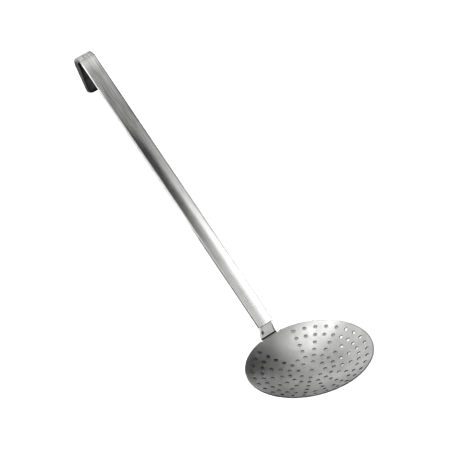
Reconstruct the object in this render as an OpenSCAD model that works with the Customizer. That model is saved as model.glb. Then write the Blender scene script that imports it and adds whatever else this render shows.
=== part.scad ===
// Kitchen skimmer of pressed stainless steel: a shallow punched bowl, a folded neck and a long channel
// handle that ends in a hook. Every piece is drawn with the bowl's rim level and its middle at the origin,
// the handle rising towards -X. The whole is then tilted back, so that it lies on Z = 0 as on a table.

/* [Bowl] */
// Outside diameter of the bowl at its rim
bowl_d = 120; // [100:1:150]
// Depth inside the bowl, from the rim down to its lowest point
bowl_depth = 14.3; // [10:0.1:18]
// Thickness of the bowl's sheet
bowl_t = 1; // [0.8:0.1:1.5]

/* [Holes] */
// Diameter of a drain hole
hole_d = 3.2; // [2.4:0.1:4]
// Radius of the innermost ring of holes
first_ring = 12.5; // [10:0.1:15]
// Step from one ring of holes to the next
ring_step = 8.2; // [7:0.1:10]
// Least distance from the middle of a hole to the rim
rim_band = 6; // [5:0.1:9]
// Holes in the innermost ring, doubled on the wider rings
ring_holes = 8; // [6:1:9]
// Widest spacing of the holes along a ring
hole_spacing = 16; // [12:0.5:20]
// Angle of the sector beside the neck that has no holes
solid_angle = 34; // [24:1:60]
// Radius at which that sector begins
solid_from = 25; // [15:1:40]

/* [Neck] */
// Thickness of the neck's sheet
neck_t = 1.2; // [0.8:0.1:1.3]
// Width of the neck at its foot
foot_w = 17.4; // [16:0.1:22]
// Width of the neck where it enters the handle
neck_top_w = 13.2; // [12:0.1:15]
// Distance of the neck's face inside the rim
foot_inset = 0.6; // [0.3:0.1:0.8]
// Length of the neck's straight wall
neck_len = 12.2; // [8:0.1:20]
// Lean of the neck away from the bowl's axis, in degrees
neck_lean = 5; // [0:0.5:12]
// Depth of the neck's turned-back sides
neck_depth = 2.5; // [2:0.1:3]
// Outside radius of the neck's folded edges
neck_fold_r = 1.5; // [1.4:0.1:1.8]
// Height at which the turned-back sides begin
side_gap = 1.5; // [1.5:0.1:3]
// Inside radius of the bend between wall and tongue
neck_bend_r = 2.8; // [2:0.1:5]
// Length of the flat tongue inside the handle
tongue_len = 30; // [24:1:50]
// Corner radius of the tongue's end
tongue_corner_r = 3; // [1:0.5:5]
// Corner radius of the bowl's tab under the neck's foot
tab_corner_r = 1.2; // [0.5:0.1:1.8]
// Width of the notches that part the neck's foot from the rim
notch_w = 3.4; // [2:0.1:5]
// How far those notches reach in from the rim
notch_in = 2.2; // [2:0.1:3]

/* [Welds] */
// Leg of the weld bead behind the neck's foot
weld_leg = 1.2; // [0.8:0.1:1.3]
// Diameter of the weld spots on the tongue
spot_d = 5; // [3:0.5:5.5]
// Number of weld spots
spots = 2; // [1:1:3]

/* [Handle] */
// Width of the handle
handle_w = 15.6; // [14:0.1:20]
// Thickness of the handle's sheet
handle_t = 1.2; // [0.8:0.1:1.5]
// Depth of the channel, over its turned-back sides
handle_depth = 3.3; // [3:0.1:5]
// Outside radius of the handle's folded edges
fold_r = 1.6; // [1.6:0.1:2.4]
// Length of the straight handle
handle_len = 299.5; // [180:0.5:360]
// Lean of the handle away from the bowl's axis, in degrees
handle_lean = 42.5; // [30:0.5:55]
// Play between the tongue's edges and the folds of the channel
tongue_play = 0.1; // [0.05:0.05:0.3]
// Distance from the end of the neck's bend to the handle's open end
mouth_gap = 0.3; // [0:0.1:2]

/* [Hook] */
// Radius inside the hook's bend
hook_r = 5.2; // [4:0.1:10]
// Turn of the hook, in degrees
hook_turn = 156; // [130:1:175]
// Length of the hook's straight leg
leg_len = 28.5; // [18:0.5:40]
// Corner radius of the leg's end
leg_corner_r = 4; // [3:0.1:6]

/* [Hidden] */
// Overshoot of a cutting shape
cut = 1;
// How far a straight sheet runs back into the bend before it
lap = 0.002;
// How far a notch cuts into the side of the root tab
notch_bite = 0.4;
steel = [0.74, 0.74, 0.73];
weld_steel = [0.62, 0.61, 0.58];

// Directions in the side view, as [x, z]: up along a piece that leans back by a, and out of its back
function up(a) = [-sin(a), cos(a)];
function back(a) = [-cos(a), -sin(a)];
function at_tilt(p, a) = [p[0] * cos(a) - p[1] * sin(a), p[0] * sin(a) + p[1] * cos(a)];

// Bowl: both faces are spheres about one centre on the axis
rim_r = bowl_d / 2;
cap_r = (pow(rim_r, 2) + pow(bowl_depth, 2)) / (2 * bowl_depth);
cap_z = cap_r - bowl_depth;
edge_h = sqrt(pow(cap_r + bowl_t, 2) - pow(rim_r, 2)) - cap_z;
ring_count = floor((rim_r - rim_band - first_ring) / ring_step) + 1;

// Neck: foot, end of the wall, middle of the bend and start of the tongue
foot = [-rim_r + foot_inset, 0];
tab_out = neck_t + weld_leg - foot_inset;
wall_end = foot + neck_len * up(neck_lean);
neck_bend_out = neck_bend_r + neck_t;
bend_mid = wall_end + neck_bend_out * back(neck_lean);
tongue_start = bend_mid - neck_bend_out * back(handle_lean);
neck_taper = atan((foot_w - neck_top_w) / 2 / neck_len);
tongue_w = handle_w - 2 * fold_r - 2 * tongue_play;

// Handle: its face at the open end, then the middle of the hook's bend and the leg's rounded tip
mouth = tongue_start + mouth_gap * up(handle_lean) - handle_t * back(handle_lean);
hook_out = hook_r + handle_depth;
hook_mid = mouth + handle_len * up(handle_lean) + hook_out * back(handle_lean);
leg_lean = handle_lean + hook_turn;
leg_start = hook_mid - hook_out * back(leg_lean);
tip = leg_start + (leg_len - fold_r) * up(leg_lean) + fold_r * back(leg_lean);

// Rest: the part lies on the hook's tip and on the lowest of the points round the neck's foot
rest_points = [
    [-rim_r - tab_out, -bowl_t],
    foot + side_gap * up(neck_lean) + neck_depth * back(neck_lean),
    wall_end + neck_depth * back(neck_lean),
    mouth + handle_depth * back(handle_lean)
];
function tilt_on(p) = atan2(tip[1] - p[1], p[0] - tip[0]) - asin(fold_r / norm(tip - p));
rest_tilt = max([for (p = rest_points) tilt_on(p)]);
floor_z = at_tilt(tip, rest_tilt)[1] - fold_r;
far_x = at_tilt([rim_r, -edge_h], rest_tilt)[0];
hook_x = at_tilt(hook_mid, rest_tilt)[0] - hook_out;
mid_x = (far_x + hook_x) / 2;

// Lays what is drawn with a level rim down on Z = 0, with the middle of its length at X = 0
module lay() {
    translate([-mid_x, 0, -floor_z]) rotate([0, -rest_tilt, 0]) children();
}

// Moves to a point of the side view, with Z along a piece that leans back by a and its face at X = 0
module stand(p, a) {
    translate([p[0], 0, p[1]]) rotate([0, -a, 0]) children();
}

// Carries a section, whose face is at x = 0, round a backward bend of a given turn and outside radius
module bend(turn, out) {
    translate([-out, 0, 0]) rotate([90, 0, 0])
        rotate_extrude(angle = turn, $fn = 96) translate([out, 0]) children();
}

// Moves to the far end of that bend
module past_bend(turn, out) {
    translate([-out, 0, 0]) rotate([0, -turn, 0]) translate([out, 0, 0]) children();
}

// Half of a folded sheet in section: its face lies along x = 0 and its side is turned back at y = reach
module folded_edge(reach, depth, t, r) {
    difference() {
        rounded_corner(reach, depth, r);
        translate([-t, -cut]) rounded_corner(reach - t + cut, depth, r - t);
    }
}

// Rectangle from [-depth, 0] to [0, reach] with its last corner rounded
module rounded_corner(reach, depth, r) {
    translate([-depth, 0]) square([depth - r, reach]);
    translate([-depth, 0]) square([depth, reach - r]);
    translate([-r, reach - r]) circle(r, $fn = 48);
}

// Section of the handle, face towards +X and channel open towards -X
module channel() {
    folded_edge(handle_w / 2, handle_depth, handle_t, fold_r);
    mirror([0, 1]) folded_edge(handle_w / 2, handle_depth, handle_t, fold_r);
}

// Number of holes in a ring: it doubles where they would stand too far apart
function holes_at(r) = ring_holes * pow(2, max(0, ceil(ln(2 * PI * r / ring_holes / hole_spacing) / ln(2))));

// One drain hole, square to the bowl's wall
module drain_hole(r, turn) {
    rotate([0, 0, turn]) translate([0, 0, cap_z]) rotate([0, 180 - asin(r / cap_r), 0])
        translate([0, 0, cap_r - cut]) cylinder(h = bowl_t + 2 * cut, d = hole_d, $fn = 32);
}

module drain_holes() {
    drain_hole(0, 0);
    for (ring = [0 : ring_count - 1]) {
        r = first_ring + ring * ring_step;
        n = holes_at(r);
        for (i = [0 : n - 1]) {
            from_neck = abs((i * 360 / n + 180) % 360 - 180);
            if (r < solid_from || from_neck > solid_angle / 2)
                drain_hole(r, 180 + i * 360 / n);
        }
    }
}

// Short tab of the bowl's sheet under the neck's foot, flush with the rim
module root_tab() {
    outer = rim_r + tab_out;
    inner = rim_r - tab_corner_r;
    translate([0, 0, -bowl_t]) linear_extrude(bowl_t) {
        translate([-outer + tab_corner_r, -foot_w / 2]) square([outer - tab_corner_r - inner, foot_w]);
        translate([-outer, -foot_w / 2 + tab_corner_r]) square([tab_out, foot_w - 2 * tab_corner_r]);
        for (side = [-1, 1])
            translate([-outer + tab_corner_r, side * (foot_w / 2 - tab_corner_r)])
                circle(tab_corner_r, $fn = 48);
    }
}

// Notch beside the tab: a slot from the rim to a round end
module notch() {
    middle_y = foot_w / 2 + notch_w / 2 - notch_bite;
    end_x = notch_in - notch_w / 2 - sqrt(pow(rim_r, 2) - pow(middle_y, 2));
    translate([end_x, middle_y, -bowl_depth]) cylinder(h = 2 * bowl_depth, d = notch_w, $fn = 48);
    translate([end_x - rim_r, middle_y - notch_w / 2, -bowl_depth]) cube([rim_r, notch_w, 2 * bowl_depth]);
}

// Ball about the middle of the bowl's two faces, with its poles out at the sides
module ball(r) {
    translate([0, 0, cap_z]) rotate([90, 0, 0]) sphere(r, $fn = 180);
}

// Bowl: spherical pressing with a plain cut rim, and a notch on each side of the tab
module bowl() {
    color(steel) lay() difference() {
        union() {
            intersection() {
                ball(cap_r + bowl_t);
                translate([0, 0, -rim_r]) cylinder(h = rim_r, r = rim_r, $fn = 180);
            }
            root_tab();
        }
        ball(cap_r);
        drain_holes();
        notch();
        mirror([0, 1, 0]) notch();
    }
}

// Flat plate in the plane of a leaning piece: the outline's x runs along Y and its y along Z
module plate(t) {
    translate([-t, 0, 0]) rotate([90, 0, 90]) linear_extrude(t) children();
}

// One folded edge of the neck's wall, along its slanting side
module wall_edge() {
    translate([0, foot_w / 2, 0]) rotate([neck_taper, 0, 0])
        translate([0, -2 * neck_fold_r, -2 * neck_t]) linear_extrude(neck_len + 4 * neck_t)
            folded_edge(2 * neck_fold_r, neck_depth, neck_t, neck_fold_r);
}

// Neck's wall: a tapering face with both sides turned back, a little above the tab
module neck_wall() {
    foot_y = foot_w / 2 - neck_fold_r;
    top_y = neck_top_w / 2 - neck_fold_r;
    difference() {
        intersection() {
            union() {
                wall_edge();
                mirror([0, 1, 0]) wall_edge();
                plate(neck_t)
                    polygon([
                        [-foot_y, -neck_t], [foot_y, -neck_t], [foot_y, 0],
                        [top_y, neck_len], [-top_y, neck_len], [-foot_y, 0]
                    ]);
            }
            translate([-neck_depth - cut, -foot_w, -neck_t])
                cube([neck_depth + 2 * cut, 2 * foot_w, neck_len + neck_t]);
        }
        translate([-neck_depth - cut, -foot_w, -2 * neck_t])
            cube([neck_depth + cut - neck_t, 2 * foot_w, side_gap + 2 * neck_t]);
    }
}

// Flat outline of the tongue
module tongue_outline() {
    translate([-tongue_w / 2, -lap]) square([tongue_w, tongue_len - tongue_corner_r + lap]);
    translate([-tongue_w / 2 + tongue_corner_r, 0]) square([tongue_w - 2 * tongue_corner_r, tongue_len]);
    for (side = [-1, 1])
        translate([side * (tongue_w / 2 - tongue_corner_r), tongue_len - tongue_corner_r])
            circle(tongue_corner_r, $fn = 48);
}

// Places something on each weld spot, along the middle of the tongue
module on_spots() {
    pitch = (tongue_len - mouth_gap) / (spots + 1);
    for (i = [1 : spots])
        translate([0, 0, mouth_gap + i * pitch]) rotate([0, -90, 0]) children();
}

// Neck: wall on the root tab, bend, and tongue against the inside of the handle's face
module neck() {
    turn = handle_lean - neck_lean;
    color(steel) lay() difference() {
        stand(foot, neck_lean) {
            neck_wall();
            translate([0, 0, neck_len]) {
                bend(turn, neck_bend_out) translate([-neck_t, -neck_top_w / 2]) square([neck_t, neck_top_w]);
                past_bend(turn, neck_bend_out) difference() {
                    plate(neck_t) tongue_outline();
                    on_spots() translate([0, 0, -cut]) cylinder(h = neck_t + 2 * cut, d = spot_d, $fn = 48);
                }
            }
        }
        translate([-2 * rim_r, -rim_r, -rim_r]) cube([2 * rim_r, 2 * rim_r, rim_r]);
    }
}

// Weld bead in the corner between the neck's back and the root tab
module root_weld() {
    bead_w = foot_w - 2 * neck_fold_r;
    color(weld_steel) lay() difference() {
        translate([foot[0] - neck_t, bead_w / 2, 0]) rotate([90, 0, 0])
            cylinder(h = bead_w, r = weld_leg, $fn = 48);
        stand(foot, neck_lean) translate([-neck_t, -rim_r, -rim_r]) cube([rim_r, 2 * rim_r, 2 * rim_r]);
        translate([-2 * rim_r, -rim_r, -rim_r]) cube([2 * rim_r, 2 * rim_r, rim_r]);
    }
}

// Corner of the leg's end: the folded edge turned about the corner's middle
module leg_corner() {
    translate([0, handle_w / 2 - leg_corner_r, 0]) rotate([0, 90, 0]) rotate([0, 0, 90])
        rotate_extrude(angle = 90, $fn = 96) mirror([1, -1])
            folded_edge(leg_corner_r, handle_depth, handle_t, fold_r);
}

// Rounded end of the hook's leg, with the turned-back side carried all the way round
module leg_end() {
    straight_w = handle_w - 2 * leg_corner_r;
    leg_corner();
    mirror([0, 1, 0]) leg_corner();
    translate([0, straight_w / 2, 0]) rotate([90, 0, 0]) linear_extrude(straight_w)
        folded_edge(leg_corner_r, handle_depth, handle_t, fold_r);
}

// Handle: channel from its open end to the hook, the bend, and the leg
module handle() {
    color(steel) lay() stand(mouth, handle_lean) {
        linear_extrude(handle_len) channel();
        translate([0, 0, handle_len]) {
            bend(hook_turn, hook_out) channel();
            past_bend(hook_turn, hook_out) {
                translate([0, 0, -lap]) linear_extrude(leg_len - leg_corner_r + lap) channel();
                translate([0, 0, leg_len - leg_corner_r]) leg_end();
            }
        }
    }
}

// Weld spots: they fill the tongue's holes and meet the handle's face from behind
module spot_welds() {
    color(weld_steel) lay() stand(tongue_start, handle_lean) on_spots()
        cylinder(h = neck_t, d = spot_d, $fn = 48);
}

bowl();
neck();
root_weld();
handle();
spot_welds();
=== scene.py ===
"""Kitchen skimmer of pressed stainless steel, lying face up: a punched bowl, a folded neck and a long
channel handle that ends in a hook. Each section below is one piece, in the order they are put together."""

import math

import bmesh
import bpy
from mathutils import Matrix, Vector


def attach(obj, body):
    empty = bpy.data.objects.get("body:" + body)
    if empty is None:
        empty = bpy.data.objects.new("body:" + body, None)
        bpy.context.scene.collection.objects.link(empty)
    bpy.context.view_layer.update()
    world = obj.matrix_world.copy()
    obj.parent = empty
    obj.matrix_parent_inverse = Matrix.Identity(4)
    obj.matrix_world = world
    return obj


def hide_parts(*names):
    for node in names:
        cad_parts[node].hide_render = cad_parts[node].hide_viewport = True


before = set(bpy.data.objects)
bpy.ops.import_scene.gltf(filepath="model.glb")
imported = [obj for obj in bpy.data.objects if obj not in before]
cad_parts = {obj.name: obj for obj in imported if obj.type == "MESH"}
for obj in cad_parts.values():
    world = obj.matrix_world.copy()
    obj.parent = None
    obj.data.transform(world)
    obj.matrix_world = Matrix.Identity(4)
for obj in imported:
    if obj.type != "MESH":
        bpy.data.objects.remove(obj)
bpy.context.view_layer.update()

# Bowl. A disc of 1 mm stainless sheet, pressed into a shallow cap and satin finished, with rings of
# drain holes punched square to its wall. The rim is cut plain, and between two notches a short tab
# of the sheet is left for the neck to stand on.
rim_radius = 0.060
bowl_depth = 0.0143
bowl_sheet = 0.001
cap_radius = (rim_radius**2 + bowl_depth**2) / (2 * bowl_depth)
cap_height = cap_radius - bowl_depth
hole_radius = 0.00172
hole_lip = 0.00018
first_ring = 0.0125
ring_step = 0.0082
holes_in_rings = (8, 16, 16, 16, 32, 32)
plain_half_angle = math.radians(17)
plain_from = 0.025
rim_round = 0.00028

# The skimmer lies tilted back, on its hook and on the foot of its neck
rest_tilt = math.radians(44.44294505)
rest_shift = Vector((0.15935353572, 0, 0.04398622552))
lay_down = Matrix.Translation(rest_shift) @ Matrix.Rotation(-rest_tilt, 4, "Y")


def place(node, sockets):
    """Links or sets a node's inputs by name or number."""
    for key, value in sockets.items():
        socket = node.inputs[key]
        if isinstance(value, bpy.types.NodeSocket):
            node.id_data.links.new(value, socket)
        else:
            socket.default_value = value
    return node


def put(tree, kind, sockets=None, **settings):
    """Adds a node with its settings and inputs."""
    node = tree.nodes.new(kind)
    for name, value in settings.items():
        setattr(node, name, value)
    return place(node, sockets or {})


def sum_up(tree, operation, *values):
    """One number worked out from others."""
    return put(tree, "ShaderNodeMath", dict(enumerate(values)), operation=operation).outputs[0]


def piece_from(name, bm):
    """Makes an object of a finished mesh."""
    mesh = bpy.data.meshes.new(name)
    bm.to_mesh(mesh)
    bm.free()
    piece = bpy.data.objects.new(name, mesh)
    bpy.context.scene.collection.objects.link(piece)
    return piece


def turned_blank(name, section, around):
    """Revolves a closed (radius, height) section about Z."""
    bm = bmesh.new()
    rings = []
    for radius, height in section:
        if radius < 1e-7:
            rings.append([bm.verts.new((0, 0, height))])
        else:
            turns = [2 * math.pi * i / around for i in range(around)]
            rings.append([bm.verts.new((radius * math.cos(t), radius * math.sin(t), height)) for t in turns])
    for low, high in zip(rings, rings[1:]):
        for i in range(around):
            j = (i + 1) % around
            corners = [low[i % len(low)], low[j % len(low)], high[j % len(high)], high[i % len(high)]]
            bm.faces.new(list(dict.fromkeys(corners)))
    bmesh.ops.recalc_face_normals(bm, faces=bm.faces)
    return piece_from(name, bm)


def bowl_section():
    """Inside of the cap, the rounded corners of the cut rim, and the outside back to the middle."""
    outer = cap_radius + bowl_sheet
    inside_stop = math.asin((rim_radius - 1.1 * rim_round) / cap_radius)
    outside_stop = math.asin((rim_radius - 0.8 * rim_round) / outer)
    points = []
    for i in range(31):
        a = inside_stop * i / 30
        points.append((cap_radius * math.sin(a), cap_height - cap_radius * math.cos(a)))
    edge_low = cap_height - math.sqrt(outer**2 - rim_radius**2)
    points += [(rim_radius - 0.45 * rim_round, -0.08 * rim_round)]
    points += [(rim_radius - 0.1 * rim_round, -0.42 * rim_round)]
    points += [(rim_radius, -1.1 * rim_round), (rim_radius, edge_low + 0.8 * rim_round)]
    points += [(rim_radius - 0.12 * rim_round, edge_low + 0.15 * rim_round)]
    for i in range(31):
        a = outside_stop * (30 - i) / 30
        points.append((outer * math.sin(a), cap_height - outer * math.cos(a)))
    return points


def slab(name, outline, low, high):
    """Upright block over a flat outline."""
    bm = bmesh.new()
    floor_points = [bm.verts.new((x, y, low)) for x, y in outline]
    roof_points = [bm.verts.new((x, y, high)) for x, y in outline]
    bm.faces.new(floor_points)
    bm.faces.new(roof_points)
    for i in range(len(outline)):
        j = (i + 1) % len(outline)
        bm.faces.new((floor_points[i], floor_points[j], roof_points[j], roof_points[i]))
    bmesh.ops.recalc_face_normals(bm, faces=bm.faces)
    return piece_from(name, bm)


def arc(middle, radius, start, stop, steps):
    """Points along an arc, angles in degrees."""
    angles = [math.radians(start + (stop - start) * i / steps) for i in range(steps + 1)]
    return [(middle[0] + radius * math.cos(a), middle[1] + radius * math.sin(a)) for a in angles]


foot_width = 0.0174
tab_reach = 0.0018
tab_corner = 0.0012
tab_rim = rim_radius - 0.0001
tab_end = -rim_radius - tab_reach
half_foot = foot_width / 2
tab_turn = math.degrees(math.asin(half_foot / tab_rim))
tab_outline = arc((0, 0), tab_rim, 180 - tab_turn, 180 + tab_turn, 12)
tab_outline += arc((tab_end + tab_corner, -half_foot + tab_corner), tab_corner, 270, 180, 6)
tab_outline += arc((tab_end + tab_corner, half_foot - tab_corner), tab_corner, 180, 90, 6)
tab_blank = slab("tab_blank", tab_outline, -bowl_sheet, -0.00001)

notch_width = 0.0024
notch_in = 0.0012
notch_middle = half_foot + notch_width / 2 - 0.0002
notch_end = notch_in - notch_width / 2 - math.sqrt(rim_radius**2 - notch_middle**2)
notch_outline = arc((notch_end, notch_middle), notch_width / 2, -90, 90, 14)
notch_outline += [(notch_end - 0.02, notch_middle + notch_width / 2)]
notch_outline += [(notch_end - 0.02, notch_middle - notch_width / 2)]
notch_cutters = [slab("notch_cutter", notch_outline, -0.02, 0.02)]
notch_cutters += [slab("notch_cutter", [(x, -y) for x, y in notch_outline], -0.02, 0.02)]


def punching_tree(steel):
    """Geometry Nodes: joins the tab, cuts the notches, and punches the rings of holes."""
    tree = bpy.data.node_groups.new("punched_bowl", "GeometryNodeTree")
    face = tree.interface
    face.new_socket("Geometry", in_out="INPUT", socket_type="NodeSocketGeometry")
    numbers = ("Hole radius", "Lip", "Sheet", "First ring", "Ring step", "Cap radius", "Cap height")
    for name in numbers + ("Plain half angle", "Plain from"):
        face.new_socket(name, in_out="INPUT", socket_type="NodeSocketFloat")
    for name in ("Tab", "Left notch", "Right notch"):
        face.new_socket(name, in_out="INPUT", socket_type="NodeSocketObject")
    face.new_socket("Geometry", in_out="OUTPUT", socket_type="NodeSocketGeometry")
    given = tree.nodes.new("NodeGroupInput").outputs

    rings = put(tree, "GeometryNodeJoinGeometry")
    for k, count in enumerate(holes_in_rings):
        radius = sum_up(tree, "MULTIPLY_ADD", given["Ring step"], k, given["First ring"])
        ring = put(tree, "GeometryNodeMeshCircle", {"Vertices": count, "Radius": radius})
        marks = put(tree, "GeometryNodeMeshToPoints", {"Mesh": ring.outputs[0]})
        tree.links.new(marks.outputs[0], rings.inputs[0])
    middle = put(tree, "GeometryNodePoints", {"Count": 1})
    tree.links.new(middle.outputs[0], rings.inputs[0])

    where = put(tree, "ShaderNodeSeparateXYZ", {0: put(tree, "GeometryNodeInputPosition").outputs[0]}).outputs
    across = sum_up(tree, "ADD", sum_up(tree, "MULTIPLY", where[0], where[0]), sum_up(tree, "MULTIPLY", where[1], where[1]))
    out = sum_up(tree, "SQRT", across)
    far_out = sum_up(tree, "GREATER_THAN", out, given["Plain from"])
    toward_neck = sum_up(tree, "DIVIDE", sum_up(tree, "MULTIPLY", where[0], -1), sum_up(tree, "MAXIMUM", out, 1e-6))
    near_neck = sum_up(tree, "GREATER_THAN", toward_neck, sum_up(tree, "COSINE", given["Plain half angle"]))
    plain = sum_up(tree, "MULTIPLY", far_out, near_neck)
    kept = put(tree, "GeometryNodeDeleteGeometry", {"Geometry": rings.outputs[0], "Selection": plain}, domain="POINT")

    cap = given["Cap radius"]
    drop = sum_up(tree, "SQRT", sum_up(tree, "SUBTRACT", sum_up(tree, "MULTIPLY", cap, cap), across))
    from_centre = put(tree, "ShaderNodeCombineXYZ", {0: where[0], 1: where[1], 2: sum_up(tree, "MULTIPLY", drop, -1)})
    half_sheet = sum_up(tree, "MULTIPLY", given["Sheet"], 0.5)
    stretch = sum_up(tree, "DIVIDE", sum_up(tree, "ADD", cap, half_sheet), cap)
    in_wall = put(tree, "ShaderNodeVectorMath", {0: from_centre.outputs[0], "Scale": stretch}, operation="SCALE")
    lift = put(tree, "ShaderNodeCombineXYZ", {2: given["Cap height"]})
    spot = put(tree, "ShaderNodeVectorMath", {0: in_wall.outputs[0], 1: lift.outputs[0]}, operation="ADD")
    lowered = put(tree, "GeometryNodeSetPosition", {"Geometry": kept.outputs[0], "Position": spot.outputs[0]})

    punch = put(tree, "GeometryNodeMeshCylinder", {"Vertices": 24, "Side Segments": 5, "Radius": 1.0, "Depth": 5.0})
    at = put(tree, "ShaderNodeSeparateXYZ", {0: put(tree, "GeometryNodeInputPosition").outputs[0]}).outputs
    level = sum_up(tree, "ABSOLUTE", at[2])
    flare = put(tree, "ShaderNodeMapRange", {"Value": level, "From Min": 0.5, "From Max": 1.5}).outputs[0]
    beyond = put(tree, "ShaderNodeMapRange", {"Value": level, "From Min": 1.5, "From Max": 2.5}).outputs[0]
    wide = sum_up(tree, "MULTIPLY_ADD", given["Lip"], sum_up(tree, "ADD", flare, beyond), given["Hole radius"])
    tall = sum_up(tree, "SUBTRACT", half_sheet, given["Lip"])
    tall = sum_up(tree, "MULTIPLY_ADD", flare, sum_up(tree, "MULTIPLY", given["Lip"], 1.2), tall)
    tall = sum_up(tree, "MULTIPLY_ADD", beyond, given["Sheet"], tall)
    tall = sum_up(tree, "MULTIPLY", sum_up(tree, "SIGN", at[2]), tall)
    shape = {0: sum_up(tree, "MULTIPLY", at[0], wide), 1: sum_up(tree, "MULTIPLY", at[1], wide), 2: tall}
    shaped = put(tree, "ShaderNodeCombineXYZ", shape)
    punch = put(tree, "GeometryNodeSetPosition", {"Geometry": punch.outputs[0], "Position": shaped.outputs[0]})

    place_now = put(tree, "GeometryNodeInputPosition").outputs[0]
    outward = put(tree, "ShaderNodeVectorMath", {0: place_now, 1: lift.outputs[0]}, operation="SUBTRACT")
    square = put(tree, "FunctionNodeAlignRotationToVector", {"Vector": outward.outputs[0]}, axis="Z")
    stamped = {"Points": lowered.outputs[0], "Instance": punch.outputs[0], "Rotation": square.outputs[0]}
    punches = put(tree, "GeometryNodeInstanceOnPoints", stamped)
    punches = put(tree, "GeometryNodeRealizeInstances", {0: punches.outputs[0]})

    def fixed(name):
        return put(tree, "GeometryNodeObjectInfo", {"Object": given[name]}, transform_space="ORIGINAL").outputs["Geometry"]

    tabbed = put(tree, "GeometryNodeMeshBoolean", operation="UNION", solver="MANIFOLD")
    for part in (given["Geometry"], fixed("Tab")):
        tree.links.new(part, tabbed.inputs["Mesh 2"])
    notched = put(tree, "GeometryNodeMeshBoolean", {"Mesh 1": tabbed.outputs[0]}, operation="DIFFERENCE", solver="MANIFOLD")
    for part in (fixed("Left notch"), fixed("Right notch"), punches.outputs[0]):
        tree.links.new(part, notched.inputs["Mesh 2"])
    whole = put(tree, "GeometryNodeRealizeInstances", {0: notched.outputs[0]})
    finished = put(tree, "GeometryNodeSetMaterial", {"Geometry": whole.outputs[0], "Material": steel})
    result = tree.nodes.new("NodeGroupOutput")
    tree.links.new(finished.outputs[0], result.inputs[0])
    return tree


def grain(tree, vector, scale, detail=3.0, roughness=0.55):
    """Even noise round 0.5."""
    sockets = {"Vector": vector, "Scale": scale, "Detail": detail, "Roughness": roughness}
    return put(tree, "ShaderNodeTexNoise", sockets).outputs[0]


def stretched(tree, vector, scale):
    """The same coordinates, stretched along one or more axes."""
    return put(tree, "ShaderNodeVectorMath", {0: vector, 1: scale}, operation="MULTIPLY").outputs[0]


def ranged(tree, value, low, high, to_low, to_high):
    """Maps a value to another range, softly and without overshoot."""
    sockets = {"Value": value, "From Min": low, "From Max": high, "To Min": to_low, "To Max": to_high}
    return put(tree, "ShaderNodeMapRange", sockets, interpolation_type="SMOOTHSTEP").outputs[0]


def steel_finish(name, build, anisotropy=0.0):
    """A steel: build gives its tone, roughness and height, which make the colour, gloss and bump."""
    steel = bpy.data.materials.new(name)
    steel.use_nodes = True
    tree = steel.node_tree
    shader = tree.nodes["Principled BSDF"]
    shader.inputs["Metallic"].default_value = 1.0
    shader.inputs["Anisotropic"].default_value = anisotropy
    tone, roughness, height, depth = build(tree)
    colour = put(tree, "ShaderNodeCombineColor", {0: tone, 1: tone, 2: sum_up(tree, "MULTIPLY", tone, 0.99)})
    bump = put(tree, "ShaderNodeBump", {"Height": height, "Distance": depth, "Strength": 1.0})
    place(shader, {"Base Color": colour.outputs[0], "Roughness": roughness, "Normal": bump.outputs[0]})
    return steel


def bowl_satin(tree):
    """Fine satin with faint clouds, lighter and glossier along the rim, with a patch of painted shade at one side of
    the rim and a painted shadow line along the far rim.
    """
    where = put(tree, "ShaderNodeTexCoord").outputs["Object"]
    laid = {0: where, "Location": rest_shift, "Rotation": (0, -rest_tilt, 0)}
    own = put(tree, "ShaderNodeMapping", laid, vector_type="TEXTURE").outputs[0]
    out = put(tree, "ShaderNodeVectorMath", {0: stretched(tree, own, (1, 1, 0))}, operation="LENGTH").outputs["Value"]
    # Lighter and glossier in a band just inside the rim.
    lighter_band = ranged(tree, out, 0.0585, 0.0600, 0.0, 1.0)
    clouds = grain(tree, own, 55.0)
    speckle = grain(tree, own, 1400.0, 2.0)
    lines = grain(tree, stretched(tree, own, (140, 2600, 140)), 1.0, 2.0)
    tone = ranged(tree, clouds, 0.3, 0.7, 0.36, 0.42)
    tone = sum_up(tree, "MULTIPLY_ADD", sum_up(tree, "SUBTRACT", speckle, 0.5), 0.22, tone)
    tone = sum_up(tree, "MULTIPLY_ADD", sum_up(tree, "SUBTRACT", lines, 0.5), 0.08, tone)
    tone = sum_up(tree, "MULTIPLY_ADD", lighter_band, 0.10, tone)
    # Painted shade: a soft dark patch at one side of the rim.
    from_painted_shade_patch = put(tree, "ShaderNodeVectorMath", {0: own, 1: (-0.026, -0.053, -0.002)}, operation="DISTANCE").outputs["Value"]
    tone = sum_up(tree, "ADD", tone, ranged(tree, from_painted_shade_patch, 0.004, 0.032, -0.15, 0.0))
    at = put(tree, "ShaderNodeSeparateXYZ", {0: own}).outputs
    # Painted shadow: a thin darker line at the rim's edge on the far side.
    painted_rim_shade_amount = sum_up(tree, "MULTIPLY", ranged(tree, at[1], -0.010, 0.015, 0.0, 1.0), ranged(tree, at[0], -0.025, 0.030, -0.12, -0.28))
    painted_rim_shade = sum_up(tree, "MULTIPLY", ranged(tree, out, 0.0588, 0.0593, 0.0, 1.0), painted_rim_shade_amount)
    tone = sum_up(tree, "MAXIMUM", sum_up(tree, "ADD", tone, painted_rim_shade), 0.05)
    roughness = ranged(tree, clouds, 0.3, 0.7, 0.36, 0.30)
    roughness = sum_up(tree, "MULTIPLY_ADD", sum_up(tree, "SUBTRACT", lines, 0.5), 0.12, roughness)
    roughness = sum_up(tree, "MULTIPLY_ADD", lighter_band, -0.08, roughness)
    height = sum_up(tree, "MULTIPLY_ADD", speckle, 0.35, lines)
    return tone, roughness, height, 0.000008


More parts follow.
